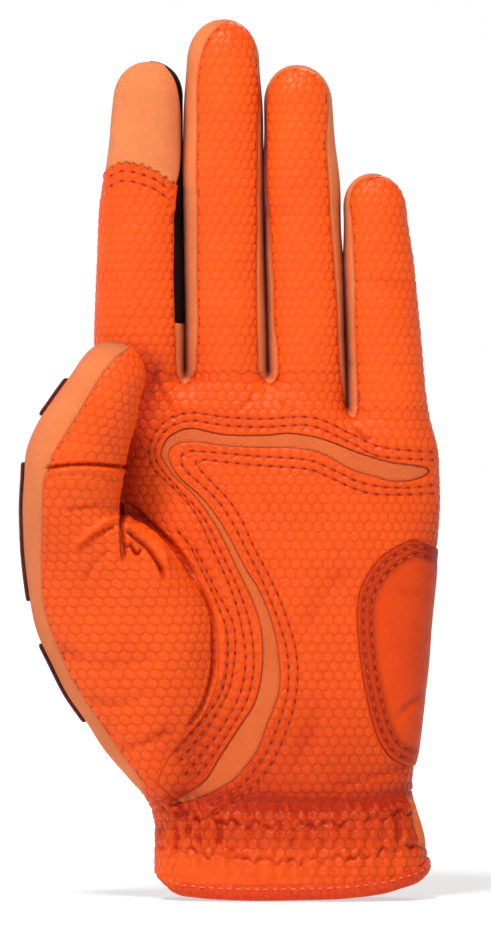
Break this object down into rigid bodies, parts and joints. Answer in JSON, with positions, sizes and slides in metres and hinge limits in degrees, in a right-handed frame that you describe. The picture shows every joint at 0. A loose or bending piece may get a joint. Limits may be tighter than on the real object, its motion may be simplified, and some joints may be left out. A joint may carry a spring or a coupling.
{
  "type": "golf glove",
  "caption": "Left-hand golf glove in embossed leather with stretch side panels, a curved flex strip in the palm, a bound wrist opening and a closing tab at the back.",
  "frame": {"origin": "centre of the wrist opening, at the lowest point of the hem", "axes": "+Z from the wrist opening to the fingertips, -Y out of the palm, thumb on the -X side"},
  "size_m": [0.1033, 0.0535, 0.215],
  "materials": {
    "embossed_leather": "satin, raised six-sided pattern",
    "smooth_leather": "smooth satin",
    "stretch_fabric": "fine ribbed knit",
    "binding": "folded tape",
    "black_strip": "matte knit",
    "dark_patch": "matte",
    "loop_tape": "looped pile",
    "hook_tape": "hooked",
    "elastic": "ribbed",
    "tab": "satin",
    "badge": "matte, plain"
  },
  "bodies": {
    "palm": {"back_panel": "stretch_fabric", "back_yoke": "smooth_leather", "cuff_binding": "binding", "flex_strip": "stretch_fabric", "fourchette_index_middle": "stretch_fabric", "fourchette_middle_ring": "stretch_fabric", "fourchette_ring_little": "stretch_fabric", "heel_patch": "smooth_leather", "loop_patch": "loop_tape", "palm_panel": "embossed_leather", "tab_anchor": "tab", "thumb_back_patch": "dark_patch", "thumb_gusset": "stretch_fabric", "thumb_panel": "embossed_leather", "vent_binding": "binding", "wrist_elastic": "elastic"},
    "closure": {"closure_tab": "tab", "hook_patch": "hook_tape", "tab_badge": "badge"},
    "thumb_tip": {"thumb_back_tip": "stretch_fabric", "thumb_front_tip": "embossed_leather", "thumb_tip_patch": "dark_patch"},
    "index_lower": {"index_back_lower": "stretch_fabric", "index_front_lower": "embossed_leather", "index_outer_side_lower": "black_strip"},
    "index_upper": {"index_back_upper": "stretch_fabric", "index_front_upper": "embossed_leather", "index_outer_side_upper": "black_strip", "index_tip_panel": "stretch_fabric"},
    "middle_lower": {"middle_back_lower": "stretch_fabric", "middle_front_lower": "embossed_leather", "middle_outer_side_lower": "stretch_fabric", "middle_thumb_side_lower": "stretch_fabric"},
    "middle_upper": {"middle_back_upper": "stretch_fabric", "middle_front_upper": "embossed_leather", "middle_outer_side_upper": "stretch_fabric", "middle_thumb_side_upper": "stretch_fabric"},
    "ring_lower": {"ring_back_lower": "stretch_fabric", "ring_front_lower": "embossed_leather", "ring_outer_side_lower": "stretch_fabric", "ring_thumb_side_lower": "stretch_fabric"},
    "ring_upper": {"ring_back_upper": "stretch_fabric", "ring_front_upper": "embossed_leather", "ring_outer_side_upper": "stretch_fabric", "ring_thumb_side_upper": "stretch_fabric"},
    "little_lower": {"little_back_lower": "stretch_fabric", "little_front_lower": "embossed_leather", "little_thumb_side_lower": "stretch_fabric"},
    "little_upper": {"little_back_upper": "stretch_fabric", "little_front_upper": "embossed_leather", "little_thumb_side_upper": "stretch_fabric"}
  },
  "joints": [
    {"name": "index_knuckle", "type": "hinge", "parent": "palm", "child": "index_lower", "pos_m": [-0.03827, 0, 0.141], "axis": [1, 0, 0], "range_deg": [0, 45]},
    {"name": "index_middle_joint", "type": "hinge", "parent": "index_lower", "child": "index_upper", "pos_m": [-0.03765, 0, 0.165], "axis": [1, 0, 0], "range_deg": [0, 70]},
    {"name": "middle_knuckle", "type": "hinge", "parent": "palm", "child": "middle_lower", "pos_m": [-0.01732, 0, 0.139], "axis": [1, 0, 0], "range_deg": [0, 60]},
    {"name": "middle_middle_joint", "type": "hinge", "parent": "middle_lower", "child": "middle_upper", "pos_m": [-0.01736, 0, 0.172], "axis": [1, 0, 0], "range_deg": [0, 85]},
    {"name": "ring_knuckle", "type": "hinge", "parent": "palm", "child": "ring_lower", "pos_m": [0.00268, 0, 0.138], "axis": [1, 0, 0], "range_deg": [0, 60]},
    {"name": "ring_middle_joint", "type": "hinge", "parent": "ring_lower", "child": "ring_upper", "pos_m": [0.00169, 0, 0.167], "axis": [1, 0, 0], "range_deg": [0, 85]},
    {"name": "little_knuckle", "type": "hinge", "parent": "palm", "child": "little_lower", "pos_m": [0.02211, 0, 0.131], "axis": [1, 0, 0], "range_deg": [0, 60]},
    {"name": "little_middle_joint", "type": "hinge", "parent": "little_lower", "child": "little_upper", "pos_m": [0.02074, 0, 0.1505], "axis": [1, 0, 0], "range_deg": [0, 85]},
    {"name": "thumb_tip_joint", "type": "hinge", "parent": "palm", "child": "thumb_tip", "pos_m": [-0.054, -0.024, 0.105], "axis": [0, 1, 0], "range_deg": [-15, 40]},
    {"name": "closure_tab_hinge", "type": "hinge", "parent": "palm", "child": "closure", "pos_m": [0.01315, 0.0178, 0.027], "axis": [0, 0, -1], "range_deg": [0, 150]}
  ]
}
